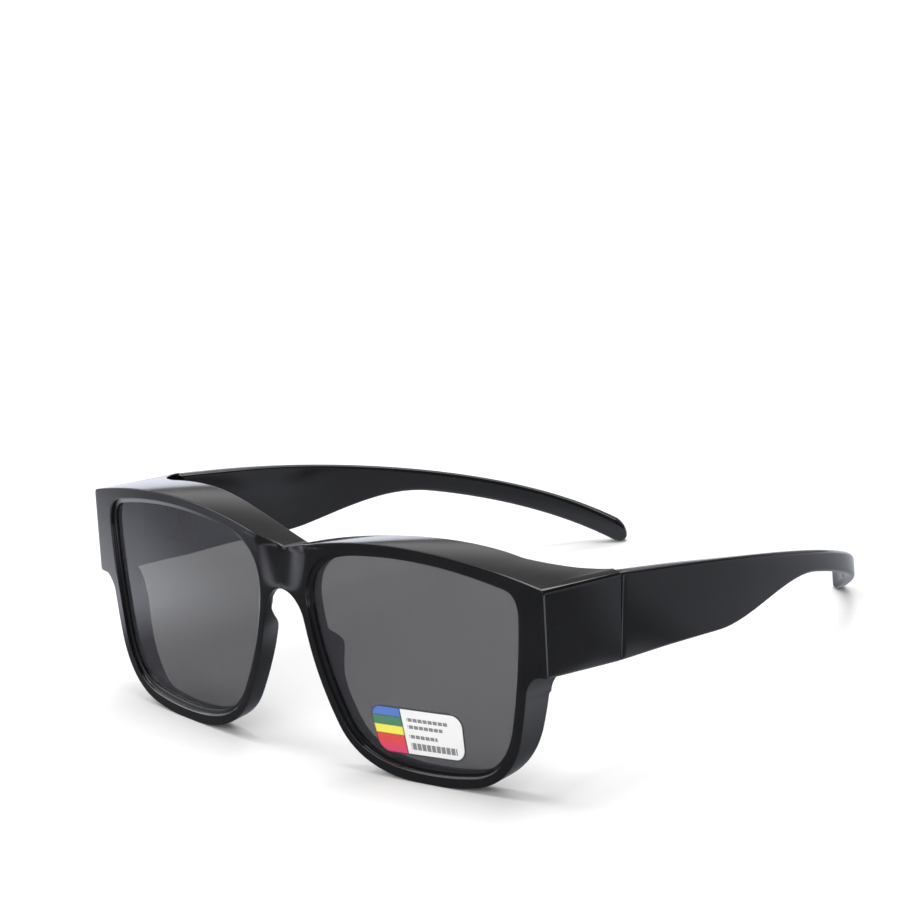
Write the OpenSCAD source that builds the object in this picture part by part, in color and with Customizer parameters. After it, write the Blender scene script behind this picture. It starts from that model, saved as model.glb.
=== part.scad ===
// Fit-over polarized sunglasses, standing open on the rim bottoms and the temple tips.
// X runs across the face (+X is the wearer's left), +Y runs back along the temples, +Z is up.
// The front is one moulding: rims, brow shelf, side shields and nose pads. Each lens is a
// laminate, and each temple turns on a barrel hinge inside the seam.

/* [Front] */
// Width across the endpieces
front_w = 150; // [144:0.5:156]
// Radius of the front's wrap, seen from above
wrap_r = 805; // [700:5:900]
// Angle of the front face to the side at the bridge crease
wrap_a = 5.4; // [5:0.1:6]
// Lean of the front face, whose lower edge stands forward of the brow
face_lean = 2.4; // [0:0.1:3]
// Height of the brow's highest point
brow_peak_z = 56.5; // [55:0.1:58]
// Distance of the brow's highest point from the middle
brow_peak_x = 35; // [30:0.5:40]
// Height of the brow at the bridge
bridge_top_z = 51.2; // [50:0.1:52.5]
// Height of the arch under the bridge
bridge_arch_z = 41.4; // [40:0.1:42.5]
// Height of the brow at the endpiece corner
end_top_z = 51; // [50:0.1:52]
// Height of the endpiece's lower edge at the front
end_low_z = 30.4; // [30:0.1:32]
// Depth from the front corner back to the hinge seam
end_depth = 25.1; // [23:0.1:26]
// Fall of the brow and endpiece towards the back, per millimetre
shelf_fall = 0.135; // [0.12:0.005:0.16]
// Lean of the hinge seam, per millimetre of height
seam_lean = 0.12; // [0.04:0.01:0.15]

/* [Rim] */
// Rim width along the bottom
rim_low_w = 3.7; // [3.6:0.1:4]
// Rim width at the outer lower corner
rim_corner_w = 3.3; // [3.1:0.1:3.6]
// Rim width along the outer side
rim_side_w = 3.4; // [3.2:0.1:3.8]
// Rim width along the nose
rim_nose_w = 3; // [2.8:0.1:3.3]
// Width of the sunk bezel round the lens
bezel_w = 1; // [0.8:0.1:1.2]
// Depth of the bezel below the front face
bezel_sink = 0.8; // [0.6:0.1:1]
// Thickness of the moulded walls
wall = 1.9; // [1.6:0.1:2.2]
// Depth of the rim along the bottom
rim_depth = 5.4; // [4.8:0.1:5.8]
// Thickness of the endpiece's side wall
side_wall = 2.5; // [2.2:0.1:2.8]
// Depth of the side shield under the endpiece
shield_depth = 8.8; // [8.4:0.1:9.4]
// Depth of the moulded nose pad
pad_depth = 7.6; // [7:0.1:8.5]
// Height of the nose pad's middle
pad_z = 28.5; // [27:0.5:30]

/* [Bridge] */
// Distance of the bridge crease from the middle, at the brow
crease_x = 8.2; // [8:0.1:8.4]
// The same distance at the arch
crease_low_x = 6.9; // [6.7:0.1:7.1]
// Depth of the saddle between the creases, at the brow
saddle_sink = 1.2; // [0.8:0.1:2]
// The same depth at the arch, where the bridge stands forward of its creases
saddle_low = -0.3; // [-0.5:0.1:0.4]
// Thickness of the bridge at the arch
bridge_t = 2.2; // [2:0.1:3]
// Depth of the brow shelf at the bridge
bridge_depth = 9.5; // [9:0.1:11]
// Depth of the brow shelf where it turns into the side wall
shelf_depth = 20.5; // [20:0.1:22]

/* [Lens] */
// Thickness of the front sheet
lens_front_t = 0.8; // [0.6:0.05:0.85]
// Thickness of the polarizing film
lens_film_t = 0.2; // [0.1:0.05:0.25]
// Thickness of the backing sheet
lens_back_t = 0.8; // [0.6:0.05:0.85]
// Distance from the front face to the lens
lens_set = 1.6; // [1.5:0.05:1.7]
// How far the lens reaches into the rim
lens_lap = 0.65; // [0.5:0.05:0.7]
// Clearance of the lens in its groove
lens_gap = 0.1; // [0.08:0.01:0.12]

/* [Sticker] */
// Width of the removable sticker
sticker_w = 26; // [22:0.1:26.5]
// Height of the sticker
sticker_h = 11.2; // [10.5:0.1:12]
// Corner radius of the sticker
sticker_r = 3.1; // [2.8:0.1:3.5]
// Distance of the sticker's middle from the middle of the glasses
sticker_x = 37; // [36.5:0.1:40]
// Height of the sticker's middle
sticker_z = 11.6; // [11.5:0.1:15]
// Turn of the sticker on the lens
sticker_turn = 2; // [0:0.5:3]
// Thickness of the sticker
sticker_t = 0.12; // [0.1:0.01:0.2]
// Width of the striped field
stripe_w = 8.7; // [8:0.1:11]

/* [Temples] */
// Height of the slim part over the ear
temple_slim_h = 5.6; // [5.2:0.1:6]
// Height of the temple near its tip
temple_tip_h = 6.2; // [6:0.1:7]
// Thickness of the temple at the hinge
temple_root_t = 3.6; // [3.2:0.1:3.8]
// Thickness of the temple over the ear
temple_slim_t = 2.7; // [2.4:0.1:3]
// Thickness of the temple near its tip
temple_tip_t = 3.3; // [3:0.1:3.8]
// Length of the temple from the seam, measured straight back
temple_len = 122.3; // [116:0.1:126]
// Distance of the temple tip from the middle
tip_x = 39; // [36:0.5:44]
// Open seam between endpiece and temple
seam_gap = 0.25; // [0.2:0.05:0.4]

/* [Hinge] */
// Radius of the hinge barrels
barrel_r = 1.5; // [1.4:0.05:1.6]
// Height of the whole barrel stack
barrel_h = 12; // [11:0.1:13]
// Height of the middle barrel on the temple
barrel_mid_h = 4; // [3.6:0.1:4.4]
// Gap between the barrels
barrel_gap = 0.12; // [0.1:0.01:0.15]
// Radius of the hinge screw
screw_r = 0.7; // [0.6:0.05:0.75]
// Running clearance of the temple barrel on the screw
screw_gap = 0.05; // [0.03:0.01:0.08]
// Radius of the screw head
screw_head_r = 1.25; // [1.15:0.05:1.35]
// Height of the screw head
screw_head_h = 0.7; // [0.6:0.05:0.9]
// Thickness of the hinge leaves
leaf_t = 0.9; // [0.8:0.05:1]
// Height of the hinge leaves
leaf_h = 9; // [8:0.1:10]
// Length of the hinge leaves
leaf_len = 10; // [9:0.1:11]
// Distance of the hinge axis inside the walls
axis_in = 3; // [2.9:0.05:3.2]
// Radius of the rivets that hold the leaves
rivet_r = 0.8; // [0.7:0.05:0.9]
// Radius of the rivet heads
rivet_head_r = 1.3; // [1.2:0.05:1.4]
// Height of the rivet heads
rivet_head_h = 0.5; // [0.4:0.05:0.6]

/* [Hidden] */
$fn = 48;

half_w = front_w / 2;

// Wrap of the front, seen from above: a circle through the crease, whose cylinder leans with the
// face. depth runs back along its radius. Level shapes are made first, and leant shears them.
wrap_x = crease_x - wrap_r * sin(wrap_a);
wrap_y = wrap_r * cos(wrap_a);
function wrap(x, depth = 0) = (wrap_y - sqrt(pow(wrap_r - depth, 2) - pow(x - wrap_x, 2)))
    / cos(face_lean);
lean_z = 50; // height at which the lean leaves the face in its place
seam_run = 8; // length of wall over which the face's lean turns into the seam's
function leant(p, share = 1) = let (lean = tan(face_lean), seam = smooth(seam_y - seam_run, seam_y, p[1]))
    p + [0, share * ((p[2] - lean_z) * lean + seam * (p[2] - axis_z) * (seam_lean - lean)), 0];
seam_y = wrap(half_w) + end_depth;
wall_x = half_w - side_wall;
root_top = end_top_z - shelf_fall * (end_depth + seam_gap); // top of the temple at the seam
root_h = end_top_z - end_low_z;
axis_z = root_top - root_h / 2; // height of the hinge's middle

// Small helpers
function mix(a, b, u) = a + (b - a) * u;
function part_of(a, b, x) = min(1, max(0, (x - a) / (b - a)));
function smooth(a, b, x) = let (u = part_of(a, b, x)) u * u * (3 - 2 * u);
function unit(v) = v / norm(v);
function perp(v) = [-v[1], v[0]];
function bezier2(p, q, r, u) = mix(mix(p, q, u), mix(q, r, u), u);
function bezier3(p, u) = mix(bezier2(p[0], p[1], p[2], u), bezier2(p[1], p[2], p[3], u), u);
function meet(p, d, q, e) = p + d * cross(q - p, e) / cross(d, e);

// Lens opening: four corners in the order inner top, outer top, outer bottom, inner bottom. cuts
// gives what each corner's rounding takes from the side before it and the side after it, and
// bows gives how far the side after the corner bows outward.
corners = [[8.3, 49.9], [67.2, 48.7], [61.7, 6.6], [21.7, 6]];
cuts = [[11.8, 13.7], [3.6, 6], [10.5, 9], [14.2, 7.1]];
bows = [3.8, 1.3, 2.7, 3.6];
function side_at(k, u) = let (a = corners[k], b = corners[(k + 1) % 4])
    mix(a, b, u) + unit(perp(b - a)) * bows[k] * 4 * u * (1 - u);
function side_len(k) = norm(corners[(k + 1) % 4] - corners[k]);
function side_from(k) = cuts[k][1] / side_len(k);
function side_to(k) = 1 - cuts[(k + 1) % 4][0] / side_len(k);
function side_dir(k, u) = unit(side_at(k, u + 0.001) - side_at(k, u - 0.001));
function corner_at(k, u) = let (j = (k + 3) % 4, p = side_at(j, side_to(j)), q = side_at(k, side_from(k)))
    bezier2(p, meet(p, side_dir(j, side_to(j)), q, side_dir(k, side_from(k))), q, u);
// t runs round the opening. Each side takes one unit of it, and so does the corner after it:
// 8 is the start of the top side, 10 of the outer side, 12 of the bottom and 14 of the nose side.
function opening(t) = let (s = (t + 8) % 8, k = floor(s / 2), u = s - 2 * k)
    u < 1 ? side_at(k, mix(side_from(k), side_to(k), u)) : corner_at((k + 1) % 4, u - 1);
function outward(t) = unit(perp(opening(t + 0.01) - opening(t - 0.01)));

// Where the spans of the outer edge start
t_bridge = 7.12; // arch top, on the middle plane
t_brow = 7.6; // brow, on the middle plane
t_corner = 9.5; // endpiece's upper corner
t_low = 10.44; // endpiece's lower corner
t_step = 10.47; // where the side wall's lower edge ends
t_side = 10.65; // where the step's fillet ends
t_lowest = 12.5; // middle of the bottom
t_arch = 14.9; // where the nose side turns into the arch

// Outer edge of the moulding at station t
function brow_z(x) = let (low = x < brow_peak_x ? bridge_top_z : end_top_z,
    run = x < brow_peak_x ? brow_peak_x : half_w - brow_peak_x)
    brow_peak_z - (brow_peak_z - low) * pow((x - brow_peak_x) / run, 2);
function brow_x(t) = let (near = opening(8)[0] - 2, far = opening(9)[0] + 2.5, half = (t_brow + 8) / 2)
    t < half ? crease_x * part_of(t_brow, half, t)
    : t < 8 ? mix(crease_x, near, part_of(half, 8, t))
    : t < 9 ? opening(t)[0] + mix(-2, 2.5, t - 8)
    : mix(far, half_w, part_of(9, t_corner, t));
function rim_w(t) = let (s = t % 8, low = mix(rim_corner_w, rim_low_w, smooth(3.4, 4.4, s)))
    mix(mix(rim_side_w, low, smooth(2.6, 3.4, s)), rim_nose_w, smooth(5, 6, s));
function rim_edge(t) = let (p = opening(t) + outward(t) * rim_w(t)) [p[0], max(0, p[1])];
function end_part(t) = part_of(opening(t_corner)[1], opening(t_low)[1], opening(t)[1]);
function arch_edge(u) = let (p = rim_edge(t_arch))
    bezier3([p, p + [-0.5, 3], [3.3, bridge_arch_z], [0, bridge_arch_z]], u);
function edge(t) =
    t <= t_brow ? [0, mix(bridge_arch_z, bridge_top_z, part_of(t_bridge, t_brow, t))]
    : t <= t_corner ? [brow_x(t), brow_z(brow_x(t))]
    : t <= t_low ? [half_w, mix(end_top_z, end_low_z, end_part(t))]
    : t <= t_side ? bezier3([[wall_x, end_low_z], [wall_x - 1, end_low_z],
        rim_edge(t_side) + [0.2, 3], rim_edge(t_side)], part_of(t_step, t_side, t))
    : t <= t_arch ? rim_edge(t)
    : arch_edge(part_of(t_arch, t_bridge + 8, t));

shield_z = 26; // height of the side shield's lower end
sweep_z = 4; // height over which the rim deepens above its lowest point

// How far back the walls reach at station t
turn_run = 14.5; // width over which the shelf turns into the side wall
turn_power = 1.4; // of its curve, which is an ellipse at 2
function brow_back(x) = let (turn = wall_x - turn_run, u = part_of(turn, wall_x, x))
    x < turn ? mix(bridge_depth, shelf_depth, pow(sin(90 * x / turn), 2))
    : seam_y - (seam_y - shelf_depth) * pow(1 - pow(u, turn_power), 1 / turn_power);
pad_below = 6.5; // how far the pad fades downwards
pad_above = 5; // and upwards
pad_end_z = 27; // where the nose wall starts to thin towards the arch
thin_z = 37; // where it is as shallow as the bridge
thin_wall = 1.4; // and as thick as this
function thin(z) = smooth(pad_end_z, thin_z, z);
function pad(z) = exp(-pow((z - pad_z) / (z < pad_z ? pad_below : pad_above), 2));
function sweep_back(z) = mix(part_of(0, end_low_z, z), 1 - exp(-z / sweep_z), 0.5);
function low_depth(t, z) = t < t_lowest ? mix(rim_depth, shield_depth, sweep_back(z))
    : mix(mix(rim_depth, pad_depth, pad(z)), bridge_t, thin(z));
function back(t) = let (e = edge(t))
    t <= t_brow ? mix(saddle_low + bridge_t, bridge_depth, smooth(0.6, 0.9, part_of(t_bridge, t_brow, t)))
    : t <= t_corner ? brow_back(e[0])
    : t <= t_step ? seam_y
    : t <= t_arch ? wrap(e[0]) + low_depth(t, e[1])
    : mix(wrap(e[0]) + low_depth(t, e[1]), saddle_low + bridge_t, part_of(t_arch, t_bridge + 8, t));
function fall(t) = t <= t_step ? shelf_fall * part_of(t_bridge, t_brow, t)
    : t <= t_arch ? shelf_fall * smooth(6, shield_z, edge(t)[1]) * (t < t_lowest ? 1 : 0.3) : 0;
// Walls of the rims lean towards the lens as they run back.
function lean(t) = t <= t_side || t > t_arch ? 0
    : let (z = edge(t)[1]) mix(0.06 * smooth(0.1, 4, z), 0.28, t < t_lowest ? 0 : pad(z) * (1 - thin(z)));

// Inner face of the walls at station t
function inside(t) = let (e = edge(t))
    t <= t_brow ? e + [0.9, -0.1]
    : t <= t_corner ? [min(wall_x, e[0] + 0.4), e[1] - wall]
    : t <= t_low ? [wall_x, mix(end_top_z - wall, end_low_z + 0.9, end_part(t))]
    : t <= t_step ? [wall_x, end_low_z + 0.5]
    : e - outward(t) * mix(wall, thin_wall, t < t_lowest ? 0 : thin(e[1]));
function foot(t) = t <= t_brow || t > t_arch ? opening(t) + outward(t) * thin_wall : inside(t);

// Front face: the wrap, with the shallow saddle between the two creases, which lean in downwards
function up_bridge(z) = part_of(bridge_arch_z, bridge_top_z, z);
function crease(z) = mix(crease_low_x, crease_x, up_bridge(z));
function face_y(x, z, depth) = let (c = crease(z)) x >= c ? wrap(x, depth)
    : wrap(c, depth) + mix(saddle_low, saddle_sink, up_bridge(z)) * (1 - pow(x / c, 2));
function on_face(p, depth) = [p[0], face_y(p[0], p[1], depth), p[1]];
// Where the line from f to e meets the crease
function cut_crease(f, e, z) = mix(f, e, (f[0] - crease(z)) / (f[0] - e[0]));
function in_rim(p, depth) = [p[0], wrap(p[0], depth), p[1]];
function behind(t, p, y) = let (run = y - wrap(p[0]), q = p - outward(t) * lean(t) * run)
    [q[0], y, q[1] - fall(t) * run];

// One section through the moulding, from the bezel over the front face and the outer wall to
// the back and the lens groove
lens_t = lens_front_t + lens_film_t + lens_back_t;
groove_front = lens_set - lens_gap;
groove_back = lens_set + lens_t + lens_gap;
lip_back = groove_back + 0.8;
function section(t) = let (o = opening(t), n = outward(t), e = edge(t), f = o + n * (bezel_w + 0.3),
    m = f[0] > crease(f[1]) + 0.1 && e[0] < crease(e[1]) - 0.1
        ? cut_crease(f, e, cut_crease(f, e, f[1])[1]) : mix(f, e, 0.5),
    r = t <= t_brow ? mix(m, e, 0.5) : e + unit(m - e) * min(0.5, norm(m - e) / 2),
    b = back(t))
    [in_rim(o, bezel_sink + 0.1), in_rim(o + n * bezel_w, bezel_sink),
    in_rim(o + n * (bezel_w + 0.1), 0.25),
    on_face(f, 0), on_face(m, 0), on_face(r, 0), on_face(e, t <= t_brow ? 0 : 0.4),
    behind(t, e, b - 0.3), behind(t, mix(e, inside(t), 0.2), b), behind(t, inside(t), b),
    behind(t, foot(t), wrap(foot(t)[0], lip_back + 0.1)), in_rim(o + n * 0.2, lip_back),
    in_rim(o, groove_back), in_rim(o + n * (lens_lap + lens_gap), groove_back),
    in_rim(o + n * (lens_lap + lens_gap), groove_front), in_rim(o, groove_front)];

function steps(a, b, n) = [for (i = [0 : n - 1]) mix(a, b, i / n)];
stations = concat(steps(t_bridge, t_brow, 6), steps(t_brow, 8, 4), steps(8, 9, 10), steps(9, t_corner, 4),
    steps(t_corner, 10, 3), steps(10, t_low, 3), [t_low, t_step, t_step + 0.002],
    steps(t_step + 0.03, t_side, 3),
    steps(t_side, 11, 3), steps(11, 12, 6), steps(12, 13, 6), steps(13, 14, 6), steps(14, t_arch, 8),
    steps(t_arch, t_bridge + 8, 6));
half_ring = [for (t = stations) [for (p = section(t)) leant(p)]];

// Both halves of the front as one closed mesh. On the middle plane they share the points of the
// outer edge (the seventh and eighth of each section), and the strip between them is left out.
module front_moulding() {
    n = len(stations);
    m = len(half_ring[0]);
    ring = concat([for (s = half_ring) each s], [for (s = half_ring) each [for (p = s) [-p[0], p[1], p[2]]]]);
    middle = [for (i = [0 : n - 1]) stations[i] <= t_brow + 0.0001];
    function id(side, i, j) = (side == 1 && middle[i] && (j == 6 || j == 7) ? 0 : side * n * m) + i * m + j;
    quads = [for (i = [0 : n - 1], j = [0 : m - 1]) let (k = (i + 1) % n, l = (j + 1) % m)
        if (!(middle[i] && middle[k] && j == 6)) [i, j, k, l]];
    faces = [for (q = quads, side = [0, 1], half = [0, 1])
        let (a = id(side, q[0], q[1]), b = id(side, q[0], q[3]), c = id(side, q[2], q[3]),
            d = id(side, q[2], q[1]), tri = half == 0 ? [a, b, c] : [a, c, d])
        side == 0 ? tri : [tri[2], tri[1], tri[0]]];
    polyhedron(ring, faces);
}

// side is 1 on the wearer's left and -1 on the right. middle_y sets the origin below the middle
// of the box round the open glasses.
module placed(side = 1) { translate([0, -middle_y, 0]) mirror([side < 0 ? 1 : 0, 0, 0]) children(); }
module front_frame() { color("#1b1c1f") placed() front_moulding(); }

// Lens laminate: sheets of the wrap's own curve, cut to the outline that fits the groove
module lens_outline() {
    polygon([for (t = stations) opening(t) + outward(t) * lens_lap]);
}
sheet_steps = 24;
module sheet(depth, t) {
    from = asin(-wrap_x / wrap_r);
    to = asin((half_w - wrap_x) / wrap_r);
    function arc(r, a) = [wrap_x + r * sin(a), wrap_y - r * cos(a)];
    angles = [for (k = [0 : sheet_steps]) mix(from, to, k / sheet_steps)];
    translate([0, 0, lean_z]) rotate([-face_lean, 0, 0]) linear_extrude(front_w, center = true)
        polygon(concat([for (a = angles) arc(wrap_r - depth, a)],
            [for (k = [sheet_steps : -1 : 0]) arc(wrap_r - depth - t, angles[k])]));
}
// Cuts straight back through everything between the front face and the seam
module through_y() { translate([0, seam_y, 0]) rotate([90, 0, 0]) linear_extrude(2 * seam_y) children(); }
module lens_layer(side, depth, t) {
    placed(side) intersection() {
        sheet(depth, t);
        through_y() lens_outline();
    }
}
module lens_front(side) { color("#6f7076", 0.6) lens_layer(side, lens_set, lens_front_t); }
module lens_film(side) { color("#4b4c52", 0.7) lens_layer(side, lens_set + lens_front_t, lens_film_t); }
module lens_back(side) {
    color("#77787d", 0.6) lens_layer(side, lens_set + lens_front_t + lens_film_t, lens_back_t);
}

// Sticker on the wearer's left lens: a blank white label with a striped field
stripe_t = 0.05;
stripe_colours = ["#e8344a", "#f4e64a", "#2f8f5a", "#3e66b8"];
stripe_h = sticker_h / len(stripe_colours);
module on_sticker() { translate([sticker_x, sticker_z]) rotate(sticker_turn) children(); }
module sticker_outline() {
    on_sticker() hull() for (sx = [-1, 1], sz = [-1, 1])
        translate([sx * (sticker_w / 2 - sticker_r), sz * (sticker_h / 2 - sticker_r)])
            circle(sticker_r, $fn = 32);
}
module sticker_base() {
    color("white") placed() intersection() {
        sheet(lens_set - sticker_t, sticker_t);
        through_y() sticker_outline();
    }
}
module stripe(k) {
    placed() intersection() {
        sheet(lens_set - sticker_t - stripe_t, stripe_t);
        through_y() intersection() {
            sticker_outline();
            on_sticker() translate([-sticker_w / 2, k * stripe_h - sticker_h / 2])
                square([stripe_w, stripe_h]);
        }
    }
}
module sticker_stripes() {
    for (k = [0 : len(stripe_colours) - 1]) color(stripe_colours[k]) stripe(k);
}

// Temple: rounded sections swept along a curve in plan, with its own fall and height
root_y = seam_y + seam_gap;
tip_r = temple_tip_h / 2;
tip_fall = 0.45;
tip_top = tip_r + tip_r * norm([1, tip_fall]);
plan = [[half_w, root_y], [half_w + 2.5, root_y + 0.34 * temple_len],
    [half_w - 8, root_y + 0.87 * temple_len], [tip_x, root_y + temple_len]];
top_line = [root_top, root_top - 7.4, 22.9, tip_top];
function temple_at(u) = bezier3(plan, u);
function temple_dir(u) = u <= 0 ? [0, 1] : unit(temple_at(min(1, u)) - temple_at(min(1, u) - 0.01));
function height_at(u) = mix(root_h - 13 * u, mix(temple_slim_h, temple_tip_h, smooth(0.6, 1, u)),
    smooth(0.24, 0.57, u));
function thick_at(u) = mix(temple_at(u)[0] - half_w + temple_root_t,
    mix(temple_slim_t, temple_tip_t, smooth(0.6, 1, u)), smooth(0.12, 0.45, u));
// Outline of a section: a rectangle h high and w thick with round corners of radius r
round_corners = [[1, 1, 0], [-1, 1, 90], [-1, -1, 180], [1, -1, 270]];
function rounded(w, h, r) = [for (c = round_corners, a = [0, 30, 60, 90])
    [c[0] * (w / 2 - r) + r * cos(a + c[2]), c[1] * (h / 2 - r) + r * sin(a + c[2])]];
function temple_ring(u, ahead, grow) = let (d = temple_dir(u), n = -perp(d), p = temple_at(u) + d * ahead,
    w = thick_at(u), h = height_at(u), z = bezier3(top_line, u) - h / 2 - tip_fall * ahead,
    r = mix(0.7, 1.1, smooth(0.2, 0.6, u)))
    [for (q = rounded(w, h, r)) let (s = p + n * (q[0] * grow - w / 2))
        leant([s[0], s[1], z + q[1] * grow], 1 - smooth(0, 0.12, u))];
temple_rings = concat([for (u = [0 : 0.03 : 0.96]) temple_ring(u, 0, 1)],
    [for (a = [0, 25, 45, 62, 76, 86]) temple_ring(1, tip_r * sin(a), cos(a))]);
module temple_shell() {
    n = len(temple_rings);
    m = len(temple_rings[0]);
    walls = [for (i = [0 : n - 2], j = [0 : m - 1], half = [0, 1])
        let (a = i * m + j, b = i * m + (j + 1) % m) half == 0 ? [a, a + m, b] : [b, a + m, b + m]];
    polyhedron([for (r = temple_rings) each r],
        concat(walls, [[for (j = [0 : m - 1]) j]], [[for (j = [m - 1 : -1 : 0]) (n - 1) * m + j]]));
}
module temple(side) { color("#1b1c1f") placed(side) temple_shell(); }

// The box round the open glasses, along Y
reach = max([for (r = temple_rings, p = r) p[1]]);
near = min([for (s = half_ring, p = s) p[1]]);
middle_y = (reach + near) / 2;

// Hinge: its axis leans with the fall of the endpiece. Inside hinge_frame, X points out to the
// wall, Y back along the temple and Z up the axis.
axis_x = wall_x - axis_in;
axis_y = leant([0, seam_y + seam_gap / 2, axis_z])[1];
axis_lean = atan(shelf_fall);
temple_in = axis_in + side_wall - temple_root_t;
stack_z = barrel_mid_h / 2 + barrel_gap;
arm_t = 1.1; // thickness of the arms between barrel and leaf
arm_y = barrel_h / 2 * sin(axis_lean) + 0.25; // keeps the leaning arms clear of the seam
rivet_first = 4.2; // from the axis to the first pair of rivets
rivet_pitch = [4.6, 5.2]; // between the rivets along the leaf and up it
module hinge_frame(side) {
    placed(side) translate([axis_x, axis_y, axis_z]) rotate([-axis_lean, 0, 0]) children();
}
module rivet_places(away) {
    for (k = [0, 1], s = [-1, 1])
        translate([0, away * (rivet_first + k * rivet_pitch[0]), s * rivet_pitch[1] / 2]) children();
}
module across(r, from, to) { translate([from, 0, 0]) rotate([0, 90, 0]) cylinder(r = r, h = to - from); }
module front_leaf() {
    difference() {
        union() {
            translate([axis_in - leaf_t, -arm_y - leaf_len, -leaf_h / 2]) cube([leaf_t, leaf_len, leaf_h]);
            for (s = [-1, 1]) translate([0, 0, s > 0 ? stack_z : -barrel_h / 2]) {
                cylinder(r = barrel_r, h = barrel_h / 2 - stack_z);
                translate([0, -arm_y - arm_t, 0]) cube([axis_in, arm_t, barrel_h / 2 - stack_z]);
            }
        }
        translate([0, 0, -barrel_h]) cylinder(r = screw_r + 0.02, h = 2 * barrel_h);
        rivet_places(-1) across(rivet_r, 0, axis_in + 1);
    }
}
module temple_leaf() {
    difference() {
        union() {
            translate([temple_in - leaf_t, barrel_r, -leaf_h / 2]) cube([leaf_t, leaf_len, leaf_h]);
            translate([0, 0, -barrel_mid_h / 2]) {
                cylinder(r = barrel_r, h = barrel_mid_h);
                translate([0, arm_y - 0.3, 0]) cube([temple_in, arm_t, barrel_mid_h]);
            }
        }
        translate([0, 0, -barrel_h]) cylinder(r = screw_r + screw_gap, h = 2 * barrel_h);
        rivet_places(1) across(rivet_r, -1, temple_in + 1);
    }
}
slot_w = 0.3; // of the screw's driver slot
module screw() {
    difference() {
        union() {
            translate([0, 0, -barrel_h / 2]) cylinder(r = screw_r, h = barrel_h);
            translate([0, 0, barrel_h / 2]) cylinder(r = screw_head_r, h = screw_head_h);
        }
        translate([-screw_head_r, -slot_w / 2, (barrel_h + screw_head_h) / 2])
            cube([2 * screw_head_r, slot_w, screw_head_h]);
    }
}
module rivets(away, face) {
    rivet_places(away) {
        across(rivet_r, face - leaf_t, face);
        across(rivet_head_r, face - leaf_t - rivet_head_h, face - leaf_t);
    }
}
module hinge_front_leaf(side) { color("#b9bcc0") hinge_frame(side) front_leaf(); }
module hinge_temple_leaf(side) { color("#b9bcc0") hinge_frame(side) temple_leaf(); }
module hinge_screw(side) { color("#d5d7da") hinge_frame(side) screw(); }
module front_rivets(side) { color("#c9ccd0") hinge_frame(side) rivets(-1, axis_in); }
module temple_rivets(side) { color("#c9ccd0") hinge_frame(side) rivets(1, temple_in); }

front_frame();
lens_front(1);  // lens_front_left
lens_film(1);  // lens_film_left
lens_back(1);  // lens_back_left
lens_front(-1);  // lens_front_right
lens_film(-1);  // lens_film_right
lens_back(-1);  // lens_back_right
sticker_base();
sticker_stripes();
temple(1);  // temple_left
temple(-1);  // temple_right
hinge_front_leaf(1);  // hinge_front_leaf_left
hinge_front_leaf(-1);  // hinge_front_leaf_right
hinge_temple_leaf(1);  // hinge_temple_leaf_left
hinge_temple_leaf(-1);  // hinge_temple_leaf_right
hinge_screw(1);  // hinge_screw_left
hinge_screw(-1);  // hinge_screw_right
front_rivets(1);  // front_rivets_left
front_rivets(-1);  // front_rivets_right
temple_rivets(1);  // temple_rivets_left
temple_rivets(-1);  // temple_rivets_right
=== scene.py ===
import math

import bmesh
import bpy
from mathutils import Matrix, Vector


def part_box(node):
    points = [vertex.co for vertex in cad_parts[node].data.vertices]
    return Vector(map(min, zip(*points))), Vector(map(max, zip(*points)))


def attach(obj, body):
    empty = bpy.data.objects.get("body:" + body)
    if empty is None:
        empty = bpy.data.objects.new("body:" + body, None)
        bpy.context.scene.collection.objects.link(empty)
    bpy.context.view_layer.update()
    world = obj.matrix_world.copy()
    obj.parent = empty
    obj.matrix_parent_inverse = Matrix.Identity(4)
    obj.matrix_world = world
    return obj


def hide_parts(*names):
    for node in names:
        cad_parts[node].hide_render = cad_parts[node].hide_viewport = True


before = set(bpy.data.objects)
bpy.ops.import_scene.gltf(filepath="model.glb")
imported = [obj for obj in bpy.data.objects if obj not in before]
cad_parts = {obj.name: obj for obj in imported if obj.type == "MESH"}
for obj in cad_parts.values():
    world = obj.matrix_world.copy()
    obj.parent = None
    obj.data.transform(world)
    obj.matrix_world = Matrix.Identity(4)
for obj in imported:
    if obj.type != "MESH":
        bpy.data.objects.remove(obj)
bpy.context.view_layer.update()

# Fit-over sunglasses of gloss black plastic, open on a white table. The front, the temples, the
# lenses and the sticker are modelled here as finer shells over the construction's solids. The
# metal hinges are the construction's own solids with their finishes.
# Sizes are in millimetres until a mesh is made. x runs across the face, z is up, and depth runs
# back from the front face along the radius of its wrap.

MM = 0.001
SIDES = {"left": 1, "right": -1}

# Front, as in the construction
HALF_W = 75
END_DEPTH = 25.1
SEAM_GAP = 0.25
WRAP_R = 805
WRAP_A = math.radians(5.4)
FACE_LEAN = math.radians(2.4)
LEAN_Z = 50
SEAM_LEAN = 0.12
SEAM_RUN = 8
BROW_PEAK = (35, 56.5)
BRIDGE_TOP = 51.2
BRIDGE_ARCH = 41.4
END_TOP = 51
END_LOW = 30.4
SHELF_FALL = 0.135

# Rim and walls
RIM_LOW_W = 3.7
RIM_CORNER_W = 3.3
RIM_SIDE_W = 3.4
RIM_NOSE_W = 3
BEZEL_W = 1
BEZEL_SINK = 0.8
BEZEL_FALL = 0.1
LIP_W = 0.12
WALL = 1.9
RIM_DEPTH = 5.4
SIDE_WALL = 2.5
SHIELD_DEPTH = 8.8
SWEEP_Z = 4
SHIELD_Z = 26
PAD_DEPTH = 7.6
PAD_Z = 28.5
PAD_BELOW = 6.5
PAD_ABOVE = 5
PAD_END_Z = 27
THIN_Z = 37
THIN_WALL = 1.4

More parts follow.
